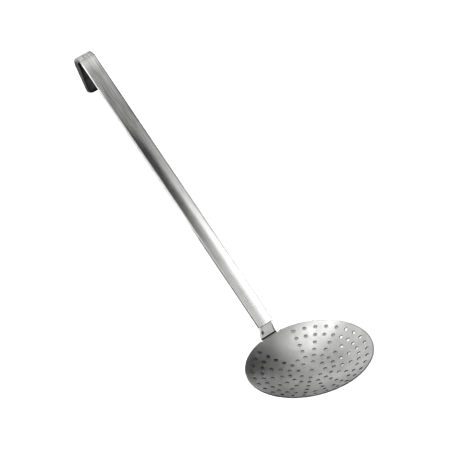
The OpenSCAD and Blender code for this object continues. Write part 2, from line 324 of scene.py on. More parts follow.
def cut_dull_painted_shade(tree):
    """The torn, unpolished steel of a punched or shear-cut edge, with fine tear marks; its near-black tone is painted
    shade over a dull finish.
    """
    where = put(tree, "ShaderNodeTexCoord").outputs["Object"]
    clouds = grain(tree, where, 900.0)
    tears = grain(tree, where, 5200.0, 2.0)
    # Near-black tone: painted shade in the holes and along the cut edges.
    tone = ranged(tree, clouds, 0.3, 0.7, 0.008, 0.03)
    tone = sum_up(tree, "MULTIPLY_ADD", sum_up(tree, "SUBTRACT", tears, 0.5), 0.02, tone)
    roughness = ranged(tree, tears, 0.3, 0.7, 0.42, 0.60)
    return tone, roughness, tears, 0.00001


bowl_steel = steel_finish("bowl_satin_steel", bowl_satin)
cut_steel_painted_shade = steel_finish("cut_edge_painted_shade_steel", cut_dull_painted_shade)

bowl_blank = turned_blank("bowl_blank", bowl_section(), 180)
press = bowl_blank.modifiers.new("punching", "NODES")
press.node_group = punching_tree(bowl_steel)
sizes = {
    "Hole radius": hole_radius,
    "Lip": hole_lip,
    "Sheet": bowl_sheet,
    "First ring": first_ring,
    "Ring step": ring_step,
    "Cap radius": cap_radius,
    "Cap height": cap_height,
    "Plain half angle": plain_half_angle,
    "Plain from": plain_from,
    "Tab": tab_blank,
    "Left notch": notch_cutters[0],
    "Right notch": notch_cutters[1],
}
for item in press.node_group.interface.items_tree:
    if item.in_out == "INPUT" and item.name in sizes:
        press[item.identifier] = sizes[item.name]


def as_plain_piece(name, source):
    """A plain mesh of what a source and its modifiers make; the source is then dropped."""
    bpy.context.view_layer.update()
    graph = bpy.context.evaluated_depsgraph_get()
    solid = source.evaluated_get(graph)
    mesh = bpy.data.meshes.new_from_object(solid, preserve_all_data_layers=True, depsgraph=graph)
    mesh.name = name
    bpy.data.objects.remove(source)
    piece = bpy.data.objects.new(name, mesh)
    bpy.context.scene.collection.objects.link(piece)
    return piece


bowl = as_plain_piece("bowl_pressing", bowl_blank)
for used in [tab_blank] + notch_cutters:
    bpy.data.objects.remove(used)


def hole_axes():
    """Unit directions from the cap's centre through every hole."""
    axes = [Vector((0, 0, -1))]
    for k, count in enumerate(holes_in_rings):
        radius = first_ring + k * ring_step
        for i in range(count):
            turn = 2 * math.pi * i / count
            if radius > plain_from and -math.cos(turn) > math.cos(plain_half_angle):
                continue
            drop = math.sqrt(cap_radius**2 - radius**2)
            axes.append(Vector((radius * math.cos(turn), radius * math.sin(turn), -drop)) / cap_radius)
    return axes


def smooth_as_pressed(mesh, angle):
    """Even shading of a sheet, with a crease only where it turns sharply."""
    mesh.shade_smooth()
    mesh.set_sharp_from_angle(angle=math.radians(angle))


def true_bowl_normals(mesh):
    """Shades both faces as the spheres they are, and each hole's wall and eased lip as round."""
    smooth_as_pressed(mesh, 50)
    centre = Vector((0, 0, cap_height))
    axes = hole_axes()
    middle = cap_radius + bowl_sheet / 2
    normals = [corner.vector.copy() for corner in mesh.corner_normals]
    for face in mesh.polygons:
        face.material_index = 0
        ray = face.center - centre
        away = ray.normalized()
        flatness = face.normal.dot(away)
        on_face = abs(ray.length - middle) > 0.4 * bowl_sheet and abs(flatness) > 0.97
        on_face = on_face and face.center.to_2d().length < rim_radius - rim_round
        if on_face:
            side = 1 if flatness > 0 else -1
            for corner in face.loop_indices:
                point = mesh.vertices[mesh.loops[corner].vertex_index].co
                normals[corner] = side * (point - centre).normalized()
            continue
        # The cut rim, each hole's wall and the eased lip round it take the near-black cut steel, painted shade.
        if face.center.to_2d().length > rim_radius - 0.5 * rim_round and abs(flatness) < 0.8:
            face.material_index = 1
            continue
        axis = max(axes, key=away.dot)
        off = (ray - axis * ray.dot(axis)).length
        if off < hole_radius + 1.5 * hole_lip:
            face.material_index = 1
            for corner in face.loop_indices:
                point = mesh.vertices[mesh.loops[corner].vertex_index].co - centre
                spoke = point - axis * point.dot(axis)
                ease = min(1.0, max(0.0, (spoke.length - hole_radius) / (0.8 * hole_lip)))
                side = 1 if point.length > middle else -1
                normals[corner] = ((ease - 1) * spoke.normalized() + ease * side * axis).normalized()
    mesh.normals_split_custom_set(normals)


bowl.data.materials.clear()
for coat in (bowl_steel, cut_steel_painted_shade):
    bowl.data.materials.append(coat)
true_bowl_normals(bowl.data)
bowl.data.transform(lay_down)
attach(bowl, "root")
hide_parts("bowl")

# Neck. A bracket folded from 1.2 mm sheet: its face stands on the bowl's tab with both sides turned
# back, and above a bend its flat tongue runs up inside the handle. Lightly brushed along its length.
neck_sheet = 0.0012
neck_lean = math.radians(5)
neck_length = 0.0122
neck_top_width = 0.0132
neck_fold = 0.0015
neck_depth = 0.0025
neck_bend = 0.0040
handle_lean = math.radians(42.5)
tongue_length = 0.030
tongue_width = 0.0122
tongue_corner = 0.003
foot = Vector((-rim_radius + 0.0006, 0))


def upward(lean):
    """Up along a piece that leans back, in the side view."""
    return Vector((-math.sin(lean), math.cos(lean)))


def behind(lean):
    """Square out of its back."""
    return Vector((-math.cos(lean), -math.sin(lean)))


def side_path(start, lean, legs):
    """Follows straights (length) and backward bends (turn, radius) in the side view: gives a function
    from the distance along the face to its point, its direction and its back."""
    spans = []
    at = Vector(start)
    done = 0.0
    for leg in legs:
        if isinstance(leg, tuple):
            turn, radius = leg
            spans.append((done, turn * radius, at.copy(), lean, radius))
            middle = at + radius * behind(lean)
            lean += turn
            at = middle - radius * behind(lean)
            done += turn * radius
        else:
            spans.append((done, leg, at.copy(), lean, 0.0))
            at = at + leg * upward(lean)
            done += leg

    def along(s):
        for begin, length, point, start_lean, radius in spans:
            if s <= begin + length + 1e-9 or begin == spans[-1][0]:
                if radius:
                    now = start_lean + (s - begin) / radius
                    return point + radius * behind(start_lean) - radius * behind(now), upward(now), behind(now)
                return point + (s - begin) * upward(start_lean), upward(start_lean), behind(start_lean)

    return along, done


def smooth_step(value, low, high):
    """0 below low, 1 above high."""
    t = min(1.0, max(0.0, (value - low) / (high - low)))
    return t * t * (3 - 2 * t)


def sheet_from_rows(name, patches, thickness, steel, painted_gap_shadow_below, crease=0.00018):
    """Joins patches of (point, across, along) rows into one sheet, thickens it inwards, and eases its cut edges; faces
    lower along the sheet than the given mark take the near-black cut steel as a painted shadow line.
    """
    bm = bmesh.new()
    flow = bm.loops.layers.uv.new("sheet")
    for rows in patches:
        grid = [[bm.verts.new(point) for point, _, _ in row] for row in rows]
        marks = [[(across, along) for _, across, along in row] for row in rows]
        for i in range(len(rows) - 1):
            for j in range(len(rows[0]) - 1):
                ring = [(i, j), (i, j + 1), (i + 1, j + 1), (i + 1, j)]
                face = bm.faces.new([grid[a][b] for a, b in ring])
                face.material_index = 1 if marks[i][j][1] < painted_gap_shadow_below else 0
                for loop, (a, b) in zip(face.loops, ring):
                    loop[flow].uv = marks[a][b]
    bmesh.ops.remove_doubles(bm, verts=bm.verts, dist=0.000004)
    bmesh.ops.dissolve_degenerate(bm, edges=bm.edges, dist=0.000002)
    blank = piece_from(name + "_blank", bm)
    blank.data.materials.append(steel)
    blank.data.materials.append(cut_steel_painted_shade)
    wall = blank.modifiers.new("thickness", "SOLIDIFY")
    wall.material_offset_rim = 1
    wall.thickness = thickness
    wall.offset = -1
    wall.use_even_offset = True
    ease = blank.modifiers.new("eased_edges", "BEVEL")
    ease.width = crease
    ease.segments = 2
    ease.limit_method = "ANGLE"
    ease.angle_limit = math.radians(50)
    piece = as_plain_piece(name, blank)
    smooth_as_pressed(piece.data, 40)
    return piece


def neck_section(s, wall_end, bend_end):
    """Half of the neck's section at a distance above its foot, as (across, back, distance from the middle)."""
    taper = min(1.0, s / wall_end)
    half = half_foot + (neck_top_width / 2 - half_foot) * taper
    flat = half - neck_fold
    turn_length = neck_fold * math.pi / 2
    side = neck_depth - neck_fold
    runout = smooth_step(s, wall_end - 0.0012, bend_end + 0.0004)
    widest = flat + turn_length * 0.80 + (turn_length * 0.2 + side) * smooth_step(s, 0.0010, 0.0022)
    tongue_half = tongue_width / 2
    widest += (tongue_half - widest) * runout
    end = bend_end + tongue_length
    if s > end - tongue_corner:
        over = min(1.0, (s - end + tongue_corner) / tongue_corner)
        widest = tongue_half - tongue_corner * (1 - math.sqrt(max(0.0, 1 - over * over)))
    marks = [flat * i / 7 for i in range(8)]
    marks += [flat + turn_length * i / 8 for i in range(1, 9)]
    marks += [flat + turn_length + side * i / 3 for i in range(1, 4)]
    section = []
    for mark in marks:
        p = min(mark, widest)
        if p <= flat:
            folded = Vector((p, 0))
        elif p <= flat + turn_length:
            a = (p - flat) / neck_fold
            folded = Vector((flat + neck_fold * math.sin(a), neck_fold * (1 - math.cos(a))))
        else:
            folded = Vector((half, neck_fold + p - flat - turn_length))
        spot = folded.lerp(Vector((p, 0)), runout)
        section.append((spot.x, spot.y, p))
    return section


def neck_rows():
    """The neck's face from its foot to the end of the tongue, with its small dents and flared foot."""
    along, total = side_path(foot, neck_lean, [neck_length, (handle_lean - neck_lean, neck_bend), tongue_length])
    bend_end = total - tongue_length
    stations = [0.0, 0.0003, 0.0006, 0.0009, 0.0012, 0.0015, 0.0018, 0.0022, 0.0027]
    stations += [0.0033 + 0.0005 * i for i in range(18)]
    stations += [neck_length + (bend_end - neck_length) * i / 8 for i in range(9)]
    stations += [bend_end + (tongue_length - tongue_corner) * i / 12 for i in range(1, 13)]
    stations += [total - tongue_corner * math.cos(math.radians(90 * i / 8)) for i in range(1, 9)]
    rows = []
    for s in stations:
        point, up, back = along(s)
        flare = 0.00030 * (1 - smooth_step(s, 0.0, 0.0016))
        row = []
        for side in (-1, 1):
            for across, depth, p in neck_section(s, neck_length, bend_end):
                dent = 0.00035 * math.exp(-((s - 0.0040) ** 2 + (across - half_foot + 0.0019) ** 2) / 0.0011**2)
                depth = depth + dent - flare
                spot = point + back * depth
                row.append((lay_down @ Vector((spot.x, side * across, spot.y)), side * p, s))
        count = len(row) // 2
        rows.append(list(reversed(row[:count])) + row[count + 1 :])
    return rows


def neck_brushed(tree):
    """Brushed along the neck. Painted shade darkens its two folds, a round spot near the dent on one side and the
    tongue inside the handle; a painted highlight lightens a band just above the foot.
    """
    flow = put(tree, "ShaderNodeUVMap", uv_map="sheet").outputs[0]
    where = put(tree, "ShaderNodeTexCoord").outputs["Object"]
    clouds = grain(tree, where, 120.0)
    lines = grain(tree, stretched(tree, flow, (4200, 160, 1)), 1.0, 3.0)
    right = put(tree, "ShaderNodeSeparateXYZ", {0: flow}).outputs[0]
    # Painted shade: a round dark spot near the dent on one side, and a faint darker strip along that side's fold.
    from_dent = put(tree, "ShaderNodeVectorMath", {0: stretched(tree, flow, (1, 0.7, 0)), 1: (-0.0060, 0.0045, 0)}, operation="DISTANCE").outputs["Value"]
    painted_dent_shade = sum_up(tree, "ADD", ranged(tree, from_dent, 0.0004, 0.0022, -0.68, 0.0), ranged(tree, right, -0.0064, -0.0056, -0.12, 0.0))
    # Painted shade along the other fold and its side.
    folded = sum_up(tree, "ADD", ranged(tree, right, 0.0054, 0.0062, 0.0, -0.55), painted_dent_shade)
    # Painted shade on the tongue where it runs inside the handle.
    painted_shade_in_handle = ranged(tree, put(tree, "ShaderNodeSeparateXYZ", {0: flow}).outputs[1], 0.0120, 0.0127, 0.0, -0.50)
    tone = sum_up(tree, "ADD", ranged(tree, clouds, 0.3, 0.7, 0.68, 0.82), sum_up(tree, "ADD", folded, painted_shade_in_handle))
    # Painted highlight: a lighter band just above the foot.
    lighter_band = ranged(tree, put(tree, "ShaderNodeSeparateXYZ", {0: flow}).outputs[1], 0.0024, 0.0030, 0.14, 0.0)
    tone = sum_up(tree, "MAXIMUM", sum_up(tree, "ADD", tone, lighter_band), 0.10)
    tone = sum_up(tree, "MULTIPLY_ADD", sum_up(tree, "SUBTRACT", lines, 0.5), 0.16, tone)
    roughness = ranged(tree, lines, 0.25, 0.75, 0.30, 0.40)
    return tone, roughness, lines, 0.00001


neck_steel = steel_finish("neck_brushed_steel", neck_brushed)
# The bottom 1.3 mm of the neck's face takes the near-black cut steel: a painted shadow line where the foot meets the
# bowl.
neck = sheet_from_rows("neck_bracket", [neck_rows()], neck_sheet, neck_steel, 0.0013)
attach(neck, "root")
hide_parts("neck")

# Root weld. A short bead of weld metal in the corner behind the neck's foot, where the neck is joined
# to the bowl's tab: a row of overlapping ripples, duller than the sheet.
bead_leg = 0.0012
bead_half = foot_width / 2 - neck_fold


def bead_rows():
    """Quarter-round bead with ripples and drawn-in ends."""
    corner = Vector((foot.x - neck_sheet / math.cos(neck_lean), 0))
    rows = []
    for i in range(97):
        y = bead_half * (2 * i / 96 - 1)
        close = math.sqrt(max(0.0, 1 - abs(y / bead_half) ** 8))
        ripple = 0.5 + 0.5 * math.cos(2 * math.pi * y / 0.0011)
        leg = bead_leg * (0.05 + 0.95 * close) * (0.88 + 0.12 * ripple)
        row = []
        for j in range(11):
            a = math.radians(180 - 96 * j / 10)
            swell = leg * (1 + 0.06 * math.sin(math.radians(180 * j / 10)))
            slant = -0.00012 * math.cos(math.radians(180 * j / 10))
            spot = corner + swell * Vector((math.cos(a), math.sin(a)))
            row.append(Vector((spot.x, y + slant, max(spot.y, 0.0))))
        rows.append(row)
    return rows, corner


def bead_piece(name, steel):
    """Closes the bead to the corner it fills."""
    rows, corner = bead_rows()
    bm = bmesh.new()
    grid = [[bm.verts.new(lay_down @ point) for point in row] for row in rows]
    keel = [bm.verts.new(lay_down @ Vector((corner.x + 0.0002, row[0].y, -0.0002))) for row in rows]
    grid = [row + [low] for row, low in zip(grid, keel)]
    for a, b in zip(grid, grid[1:]):
        for j in range(len(a)):
            k = (j + 1) % len(a)
            bm.faces.new((a[j], a[k], b[k], b[j]))
    bm.faces.new(grid[0])
    bm.faces.new(list(reversed(grid[-1])))
    bmesh.ops.recalc_face_normals(bm, faces=bm.faces)
    piece = piece_from(name, bm)
    piece.data.materials.append(steel)
    smooth_as_pressed(piece.data, 60)
    return piece


def weld_dull(tree):
    """Dull weld metal with fine scale and darker clouds."""
    where = put(tree, "ShaderNodeTexCoord").outputs["Object"]
    clouds = grain(tree, where, 700.0)
    scale = grain(tree, where, 4000.0, 2.0)
    tone = ranged(tree, clouds, 0.3, 0.7, 0.30, 0.46)
    roughness = ranged(tree, scale, 0.3, 0.7, 0.40, 0.58)
    return tone, roughness, scale, 0.00002


weld_steel = steel_finish("weld_dull_steel", weld_dull)
root_bead = bead_piece("root_bead", weld_steel)
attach(root_bead, "root")
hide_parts("root_weld")

# Handle. One strip of 1.2 mm sheet folded to a shallow channel with rounded edges, slightly crowned
# towards the bowl, bent back into a hook and closed round the end of the hook's leg. It is brushed
# along its length, coarser by the hook and smoother below.
handle_width = 0.0161
handle_sheet = 0.0012
handle_fold = 0.0007
inner_fold = 0.0003
depth_by_mouth = 0.0038
depth_by_hook = 0.0033
depth_in_bend = 0.0080
depth_at_tip = 0.0050
handle_length = 0.3005
mouth_gap = -0.0017
hook_outside = 0.0085
hook_turn = math.radians(157.4)
leg_length = 0.0290
leg_corner = 0.004
# From here along the strip the hook's sides take the dark back steel as painted shade.
painted_shade_sides_from = 0.3160
crown_angle = math.radians(8.5)

tongue_start = foot + neck_length * upward(neck_lean) + neck_bend * (behind(neck_lean) - behind(handle_lean))
mouth = tongue_start + mouth_gap * upward(handle_lean) - handle_sheet * behind(handle_lean)


def crown_rise(across, edge, tilt):
    """How far the crowned face stands above its edge."""
    if tilt < 1e-4:
        return 0.0
    bulge = edge / math.sin(tilt)
    return math.sqrt(bulge**2 - min(across, edge) ** 2) - bulge * math.cos(tilt)


def handle_section(tilt, depth):
    """Half of the channel's section, outside and inside: (across, back, inner across, inner back,
    distance from the middle); tilt is the crowned face's slope at its edge."""
    half = handle_width / 2
    flat = half - handle_fold * (1 - math.sin(tilt))
    pivot = half - leg_corner
    inner_half = half - handle_sheet
    inner_flat = inner_half - inner_fold
    squeeze = (inner_flat - pivot) / (flat - pivot)
    marks = [pivot * i / 4 for i in range(5)] + [pivot + (flat - pivot) * i / 3 for i in range(1, 4)]
    section = []
    for mark in marks:
        under = mark if mark <= pivot else pivot + (mark - pivot) * squeeze
        level = handle_sheet - crown_rise(under, flat, tilt)
        section.append((mark, -crown_rise(mark, flat, tilt), under, level, mark))
    middle = Vector((flat - handle_fold * math.sin(tilt), handle_fold * math.cos(tilt)))
    turn = math.pi / 2 - tilt
    for i in range(1, 7):
        a = tilt + turn * i / 6
        spot = middle + handle_fold * Vector((math.sin(a), -math.cos(a)))
        b = math.pi / 2 * i / 6
        under = inner_flat + inner_fold * math.sin(b)
        sunk = level + inner_fold * (1 - math.cos(b))
        section.append((spot.x, spot.y, under, sunk, flat + handle_fold * turn * i / 6))
    reach = section[-1][4]
    for i in range(1, 5):
        low = middle.y + (depth - middle.y) * i / 4
        section.append((half, low, inner_half, sunk + (depth - sunk) * i / 4, reach + low - middle.y))
    return section


def mill_dull_painted_shade(tree):
    """The unpolished back of the strip: cloudy mill finish, its dark tone partly painted shade, and darker still round
    the hook as painted shade.
    """
    where = put(tree, "ShaderNodeTexCoord").outputs["Object"]
    clouds = grain(tree, where, 260.0)
    pits = grain(tree, where, 3600.0, 2.0)
    along = put(tree, "ShaderNodeSeparateXYZ", {0: put(tree, "ShaderNodeUVMap", uv_map="sheet").outputs[0]}).outputs[1]
    # Painted shade: the back darkens from the start of the bend into the hook.
    painted_hook_shade = ranged(tree, along, 0.290, 0.306, 1.0, 0.16)
    tone = sum_up(tree, "MULTIPLY", ranged(tree, clouds, 0.3, 0.7, 0.12, 0.20), painted_hook_shade)
    tone = sum_up(tree, "MULTIPLY_ADD", sum_up(tree, "SUBTRACT", pits, 0.5), 0.03, tone)
    roughness = ranged(tree, pits, 0.3, 0.7, 0.36, 0.50)
    return tone, roughness, pits, 0.000012


mill_painted_shade_steel = steel_finish("mill_back_steel_painted_shade", mill_dull_painted_shade)


def folded_from_rows(name, patches, steel, crease=0.00012):
    """Joins patches of (outer point, inner point, across, along) rows, closes the sheet between its two
    faces, and eases its cut edges."""
    bm = bmesh.new()
    flow = bm.loops.layers.uv.new("sheet")
    inside = bm.verts.layers.float_vector.new("inside")
    for rows in patches:
        grid = [[bm.verts.new(spot[0]) for spot in row] for row in rows]
        for line, row in zip(grid, rows):
            for vert, spot in zip(line, row):
                vert[inside] = spot[1]
        for i in range(len(rows) - 1):
            for j in range(len(rows[0]) - 1):
                ring = [(i, j), (i, j + 1), (i + 1, j + 1), (i + 1, j)]
                face = bm.faces.new([grid[a][b] for a, b in ring])
                for loop, (a, b) in zip(face.loops, ring):
                    loop[flow].uv = rows[a][b][2:]
    bmesh.ops.remove_doubles(bm, verts=bm.verts, dist=0.000004)
    bmesh.ops.dissolve_degenerate(bm, edges=bm.edges, dist=0.000002)
    outside = list(bm.faces)
    for face in outside:
        marks = [loop[flow].uv for loop in face.loops]
        # Past the given mark the hook's sides take the dark back steel: painted shade.
        sunk = min(abs(mark.x) for mark in marks) > handle_width / 2 - 0.0002
        if sunk and min(mark.y for mark in marks) > painted_shade_sides_from:
            face.material_index = 2
    rim = [edge.link_loops[0] for edge in bm.edges if edge.is_boundary]
    twin = {vert: bm.verts.new(vert[inside]) for vert in list(bm.verts)}
    for face in outside:
        back = bm.faces.new([twin[loop.vert] for loop in reversed(face.loops)])
        back.material_index = 2
        for loop, other in zip(back.loops, reversed(face.loops)):
            loop[flow].uv = other[flow].uv
    for loop in rim:
        a, b = loop.vert, loop.link_loop_next.vert
        edge_face = bm.faces.new((b, a, twin[a], twin[b]))
        edge_face.material_index = 1
        marks = (loop.link_loop_next[flow].uv, loop[flow].uv, loop[flow].uv, loop.link_loop_next[flow].uv)
        for corner, mark in zip(edge_face.loops, marks):
            corner[flow].uv = mark
    bmesh.ops.recalc_face_normals(bm, faces=bm.faces)
    blank = piece_from(name + "_blank", bm)
    for coat in (steel, cut_steel_painted_shade, mill_painted_shade_steel):
        blank.data.materials.append(coat)
    ease = blank.modifiers.new("eased_edges", "BEVEL")
    ease.width = crease
    ease.segments = 2
    ease.limit_method = "ANGLE"
    ease.angle_limit = math.radians(60)
    piece = as_plain_piece(name, blank)
    smooth_as_pressed(piece.data, 40)
    return piece


def handle_patches():
    """The channel from mouth to leg, its two end corners, and the strip between them."""
    along, total = side_path(mouth, handle_lean, [handle_length, (hook_turn, hook_outside), leg_length])
    bend_end = total - leg_length
    pivot = total - leg_corner
    stations = [0.0, 0.0005, 0.001] + [handle_length * i / 120 for i in range(1, 121)]
    stations += [handle_length + (bend_end - handle_length) * i / 48 for i in range(1, 49)]
    stations += [bend_end + (leg_length - leg_corner) * i / 12 for i in range(1, 13)]

    def put_at(s, across, depth):
        point, _, back = along(s)
        spot = point + back * depth
        return lay_down @ Vector((spot.x, across, spot.y))

    def depth_at(s):
        depth = depth_by_mouth + (depth_by_hook - depth_by_mouth) * smooth_step(s, 0.150, 0.270)
        depth += (depth_in_bend - depth) * smooth_step(s, handle_length + 0.002, bend_end - 0.002)
        return depth + (depth_at_tip - depth) * smooth_step(s, bend_end, pivot)

    main = []
    for s in stations:
        tilt = crown_angle * smooth_step(handle_length - s, 0.045, 0.115)
        half = handle_section(tilt, depth_at(s))
        row = []
        for side, part in ((-1, list(reversed(half))), (1, half[1:])):
            for across, depth, under, sunk, p in part:
                row.append((put_at(s, side * across, depth), put_at(s, side * under, sunk), side * p, s))
        main.append(row)
    inner = handle_width / 2 - leg_corner
    edge = [spot for spot in handle_section(0.0, depth_at_tip) if spot[0] > inner - 1e-9]
    corners = []
    for side in (-1, 1):
        patch = []
        for i in range(13):
            a = math.radians(90 * i / 12)
            row = []
            for across, depth, under, sunk, p in edge:
                ends = []
                for reach, low in ((across - inner, depth), (under - inner, sunk)):
                    ends.append(put_at(pivot + reach * math.sin(a), side * (inner + reach * math.cos(a)), low))
                reach = p - inner
                row.append((*ends, side * (inner + reach * math.cos(a)), pivot + reach * math.sin(a)))
            patch.append(row if side > 0 else list(reversed(row)))
        corners.append(patch)
    strip = []
    for across, depth, under, sunk, p in edge:
        row = []
        for i in range(-4, 5):
            y = inner * i / 4
            row.append((put_at(pivot + across - inner, y, depth), put_at(pivot + under - inner, y, sunk), y, pivot + p - inner))
        strip.append(row)
    return [main] + corners + [strip]


def handle_brushed(tree):
    """Long brush lines along the strip, coarse by the hook and fine below, with a few deeper scratches. The face
    darkens towards the hook; painted highlights lighten the sides and the start of the bend; painted shade darkens the
    sides in the bend, a line along one fold and the lower edge of one side; a painted reflection of shadow darkens
    that side near the mouth.
    """
    flow = put(tree, "ShaderNodeUVMap", uv_map="sheet").outputs[0]
    along = put(tree, "ShaderNodeSeparateXYZ", {0: flow}).outputs[1]
    by_hook = ranged(tree, along, 0.192, 0.264, 0.0, 1.0)
    fine = grain(tree, stretched(tree, flow, (5200, 70, 1)), 1.0, 3.0)
    coarse = grain(tree, stretched(tree, flow, (900, 16, 1)), 1.0, 4.0)
    clouds = grain(tree, stretched(tree, flow, (90, 30, 1)), 1.0, 2.0)
    lines = sum_up(tree, "MULTIPLY_ADD", coarse, 0.8, fine)
    spread = sum_up(tree, "SUBTRACT", lines, 0.9)
    right = put(tree, "ShaderNodeSeparateXYZ", {0: flow}).outputs[0]
    # Darker towards the hook, with painted highlights before and at the start of the bend.
    darker_to_hook_and_painted_bend_light = ranged(tree, along, 0.115, 0.215, 0.0, -0.17)
    bend_start = sum_up(tree, "MULTIPLY", ranged(tree, along, 0.284, 0.299, 0.0, 0.30), ranged(tree, along, 0.299, 0.304, 1.0, 0.0))
    darker_to_hook_and_painted_bend_light = sum_up(tree, "ADD", darker_to_hook_and_painted_bend_light, bend_start)
    before_bend = sum_up(tree, "MULTIPLY", ranged(tree, along, 0.250, 0.282, 0.0, 0.10), ranged(tree, along, 0.299, 0.304, 1.0, 0.0))
    darker_to_hook_and_painted_bend_light = sum_up(tree, "ADD", darker_to_hook_and_painted_bend_light, before_bend)
    across = sum_up(tree, "ABSOLUTE", right)
    # Painted highlight on both sides of the channel, turning to painted shade in the bend.
    painted_side_light = sum_up(tree, "MULTIPLY", ranged(tree, across, 0.0080, 0.0088, 0.0, 0.30), ranged(tree, along, 0.296, 0.302, 1.0, -0.4))
    # Painted shade: a dark line along one fold.
    painted_edge_shades = ranged(tree, sum_up(tree, "ABSOLUTE", sum_up(tree, "SUBTRACT", right, 0.0076)), 0.0004, 0.0008, -0.40, 0.0)
    painted_edge_shades = sum_up(tree, "MULTIPLY", painted_edge_shades, ranged(tree, along, 0.085, 0.130, 0.30, 1.0))
    # Painted reflection of shadow on one side near the mouth.
    painted_shadow_reflection = sum_up(tree, "MULTIPLY", ranged(tree, right, -0.0091, -0.0084, -0.76, 0.0), ranged(tree, along, 0.090, 0.130, 1.0, 0.0))
    painted_edge_shades = sum_up(tree, "ADD", painted_edge_shades, painted_shadow_reflection)
    # Painted shade: a darker line along the lower edge of that side.
    painted_edge_shade_line = sum_up(tree, "MULTIPLY", ranged(tree, right, -0.0108, -0.0100, -0.42, 0.0), ranged(tree, along, 0.110, 0.150, 0.0, 1.0))
    painted_edge_shades = sum_up(tree, "ADD", painted_edge_shades, painted_edge_shade_line)
    tone = sum_up(tree, "ADD", ranged(tree, clouds, 0.3, 0.7, 0.46, 0.52), sum_up(tree, "ADD", painted_side_light, painted_edge_shades))
    tone = sum_up(tree, "MAXIMUM", sum_up(tree, "ADD", tone, darker_to_hook_and_painted_bend_light), 0.06)
    weight = sum_up(tree, "MULTIPLY_ADD", by_hook, 0.65, 0.35)
    tone = sum_up(tree, "MULTIPLY_ADD", spread, weight, tone)
    roughness = sum_up(tree, "MULTIPLY_ADD", by_hook, 0.12, 0.22)
    roughness = sum_up(tree, "MULTIPLY_ADD", spread, 0.10, roughness)
    height = sum_up(tree, "MULTIPLY", lines, sum_up(tree, "MULTIPLY_ADD", by_hook, 0.7, 0.3))
    return tone, roughness, height, 0.000008


handle_steel = steel_finish("handle_brushed_steel", handle_brushed)
handle = folded_from_rows("channel_handle", handle_patches(), handle_steel)
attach(handle, "root")
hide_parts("handle")

# Spot welds. Two round weld spots that hold the tongue to the inside of the handle's face: each is a
# shallow pressed dish with a raised ring, left dull.
spot_radius = 0.0025
spot_places = [0.0102, 0.0201]


def spot_piece(name, steel):
    """Both weld spots as closed, turned buttons set in the tongue's back."""
    section = [(0, 0.00004), (0.0010, 0.00005), (0.0017, 0.00009), (0.0020, 0.00016), (0.0022, 0.00017)]
    section += [(0.0024, 0.00011), (spot_radius, 0.0), (spot_radius, -0.0006), (0, -0.0006)]
    bm = bmesh.new()
    for reach in spot_places:
        base = tongue_start + reach * upward(handle_lean) + neck_sheet * behind(handle_lean)
        out = behind(handle_lean)
        facing = Vector((out.x, 0, out.y)).to_track_quat("Z", "Y").to_matrix().to_4x4()
        stand = lay_down @ Matrix.Translation(Vector((base.x, 0, base.y))) @ facing
        rings = []
        for radius, height in section:
            if radius < 1e-7:
                rings.append([bm.verts.new(stand @ Vector((0, 0, height)))])
            else:
                turns = [2 * math.pi * i / 40 for i in range(40)]
                ring = [Vector((radius * math.cos(t), radius * math.sin(t), height)) for t in turns]
                rings.append([bm.verts.new(stand @ point) for point in ring])
        for low, high in zip(rings, rings[1:]):
            for i in range(40):
                j = (i + 1) % 40
                corners = [low[i % len(low)], low[j % len(low)], high[j % len(high)], high[i % len(high)]]
                bm.faces.new(list(dict.fromkeys(corners)))
    bmesh.ops.recalc_face_normals(bm, faces=bm.faces)
    piece = piece_from(name, bm)
    piece.data.materials.append(steel)
    smooth_as_pressed(piece.data, 60)
    return piece


weld_spots = spot_piece("weld_spots", weld_steel)
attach(weld_spots, "root")
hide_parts("spot_welds")

# Studio. A plain white floor and surround, one broad lamp behind the hook, one along the far side,
# and two dark panels that the polished steel mirrors.
scene = bpy.context.scene
scene.view_settings.view_transform = "Standard"


def seen_as_background(tree):
    """1 where the camera, a mirror or clear glass looks straight at a surface, 0 for its light."""
    path = put(tree, "ShaderNodeLightPath").outputs
    seen = sum_up(tree, "MAXIMUM", path["Is Camera Ray"], path["Is Glossy Ray"])
    seen = sum_up(tree, "MAXIMUM", seen, path["Is Transmission Ray"])
    return sum_up(tree, "MULTIPLY", seen, sum_up(tree, "LESS_THAN", path["Diffuse Depth"], 0.5))


world = bpy.data.worlds.new("studio")
scene.world = world
world.use_nodes = True
sky = world.node_tree
surround = sky.nodes["Background"]
surround.inputs["Color"].default_value = (1, 1, 1, 1)
place(surround, {"Strength": ranged(sky, seen_as_background(sky), 0, 1, 0.20, 1.0)})

floor_bm = bmesh.new()
bmesh.ops.create_grid(floor_bm, x_segments=1, y_segments=1, size=4.0)
floor = piece_from("studio_floor", floor_bm)
paper = bpy.data.materials.new("white_paper")
paper.use_nodes = True
nodes = paper.node_tree
sheet_shader = nodes.nodes["Principled BSDF"]
place(sheet_shader, {"Base Color": (0.90, 0.90, 0.90, 1), "Roughness": 0.9, "Specular IOR Level": 0.0})
glow = ranged(nodes, seen_as_background(nodes), 0, 1, 0.0, 0.02)
place(sheet_shader, {"Emission Color": (1, 1, 1, 1), "Emission Strength": glow})
floor.data.materials.append(paper)


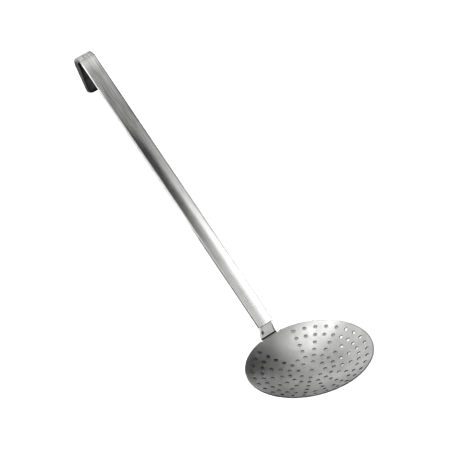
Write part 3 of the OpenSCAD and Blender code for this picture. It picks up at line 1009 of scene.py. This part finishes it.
def panel(name, azimuth, elevation, distance, width, height, aim, colour, strength):
    """A flat panel facing a point, seen in the steel but not by the camera."""
    a = math.radians(azimuth)
    e = math.radians(elevation)
    away = Vector((math.cos(a) * math.cos(e), math.sin(a) * math.cos(e), math.sin(e)))
    turn = away.to_track_quat("Z", "Y").to_matrix().to_4x4()
    stand = Matrix.Translation(Vector(aim) + distance * away) @ turn
    bm = bmesh.new()
    bmesh.ops.create_grid(bm, x_segments=1, y_segments=1, size=0.5)
    bmesh.ops.scale(bm, vec=(width, height, 1), verts=bm.verts)
    bm.transform(stand)
    card = piece_from(name, bm)
    card.visible_camera = False
    card.visible_diffuse = False
    card.visible_shadow = False
    skin = bpy.data.materials.new(name + "_face")
    skin.use_nodes = True
    place(skin.node_tree.nodes["Principled BSDF"], {
        "Base Color": colour,
        "Roughness": 0.9,
        "Specular IOR Level": 0.0,
        "Emission Color": (1, 1, 1, 1),
        "Emission Strength": strength,
    })
    card.data.materials.append(skin)
    return card


bowl_middle = (0.150, 0, 0.050)
panel("lamp_behind_hook", 182, 27, 1.6, 1.15, 0.50, bowl_middle, (0.8, 0.8, 0.8, 1), 3.0)
panel("lamp_low_hook", -170, -2.5, 0.80, 0.36, 0.10, bowl_middle, (0.8, 0.8, 0.8, 1), 2.6)
panel("lamp_far_side", 70, 48, 0.9, 0.8, 0.62, (0.125, 0, 0.02), (0.8, 0.8, 0.8, 1), 2.2)
panel("dark_overhead", 95, 78, 0.46, 0.25, 0.20, (-0.137, 0, 0.02), (0.02, 0.02, 0.02, 1), 0.0)
panel("dark_side", 132, 16, 1.2, 0.7, 0.8, bowl_middle, (0.02, 0.02, 0.02, 1), 0.0)
panel("dark_beyond", 26, 12, 0.45, 0.7, 0.20, bowl_middle, (0.02, 0.02, 0.02, 1), 0.0)
# Two dark cards lie on the floor by the neck and under the handle: painted shadow, seen only in the steel.
panel("dark_by_neck", 0, 90, 0.001, 0.10, 0.05, (0.128, 0.014, 0), (0.06, 0.06, 0.06, 1), 0.0)
panel("dark_under_handle", 0, 90, 0.001, 0.26, 0.20, (-0.090, 0.210, 0), (0.03, 0.03, 0.03, 1), 0.0)
panel("dark_low_far", 99, 7, 0.9, 1.1, 0.20, (-0.03, 0, 0.02), (0.02, 0.02, 0.02, 1), 0.0)


def shade(name, corners, passes):
    """A screen that neither the camera nor the steel sees, and that only keeps light off the floor."""
    bm = bmesh.new()
    bm.faces.new([bm.verts.new(point) for point in corners])
    screen = piece_from(name, bm)
    screen.visible_camera = False
    screen.visible_diffuse = passes == 0
    screen.visible_glossy = False
    gauze = bpy.data.materials.new(name + "_gauze")
    gauze.use_nodes = True
    net = gauze.node_tree
    place(net.nodes["Principled BSDF"], {"Base Color": (0.02, 0.02, 0.02, 1), "Alpha": 1.0 - passes})
    screen.data.materials.append(gauze)


for name, start, stop, passes in (("thin_screen", 112, 346, 0.22), ("thick_screen", 176, 332, 0.10)):
    in_mouth = [lay_down @ Vector((x, y, 0)) for x, y in arc((0, 0), 0.0585, start, stop, 26)]
    shade(name, in_mouth, passes)
under_low_side = [(0.1222, -0.0150), (0.1252, -0.0270), (0.1310, -0.0345), (0.1380, -0.0385), (0.1460, -0.0375)]
under_low_side += [(0.1480, -0.0300), (0.1465, -0.0180), (0.1490, -0.0040), (0.1450, 0.0005), (0.1340, -0.0060)]
shade("dark_under_bowl", [(x, y, 0.003) for x, y in under_low_side], 0)

key_data = bpy.data.lights.new("key_lamp", "AREA")
key_data.shape = "DISK"
key_data.size = 0.09
key_data.energy = 94
key = bpy.data.objects.new("key_lamp", key_data)
key_place = Vector((0.441, -1.117, 2.326))
key_turn = (key_place - Vector((0.012, 0.015, 0.03))).to_track_quat("Z", "Y").to_matrix().to_4x4()
key.matrix_world = Matrix.Translation(key_place) @ key_turn
key.visible_glossy = False
scene.collection.objects.link(key)

# Camera. It looks from the near side, over the bowl's end, with the picture turned so that the handle
# runs up to the left.
camera_place = Vector((0.44117286, -1.11659691, 2.32594038))
camera_aim = Vector((0.01183394, 0.01547417, 0.03))
camera_roll = math.radians(36.087)
back_axis = (camera_place - camera_aim).normalized()
level_axis = Vector((0, 0, 1)).cross(back_axis).normalized()
rise_axis = back_axis.cross(level_axis)
right_axis = math.cos(camera_roll) * level_axis + math.sin(camera_roll) * rise_axis
up_axis = -math.sin(camera_roll) * level_axis + math.cos(camera_roll) * rise_axis
camera_data = bpy.data.cameras.new("picture")
camera_data.sensor_width = 36
camera_data.lens = 222.037
camera = bpy.data.objects.new("picture", camera_data)
camera.matrix_world = Matrix.Translation(camera_place) @ Matrix((right_axis, up_axis, back_axis)).transposed().to_4x4()
scene.collection.objects.link(camera)
scene.camera = camera

bpy.context.view_layer.update()
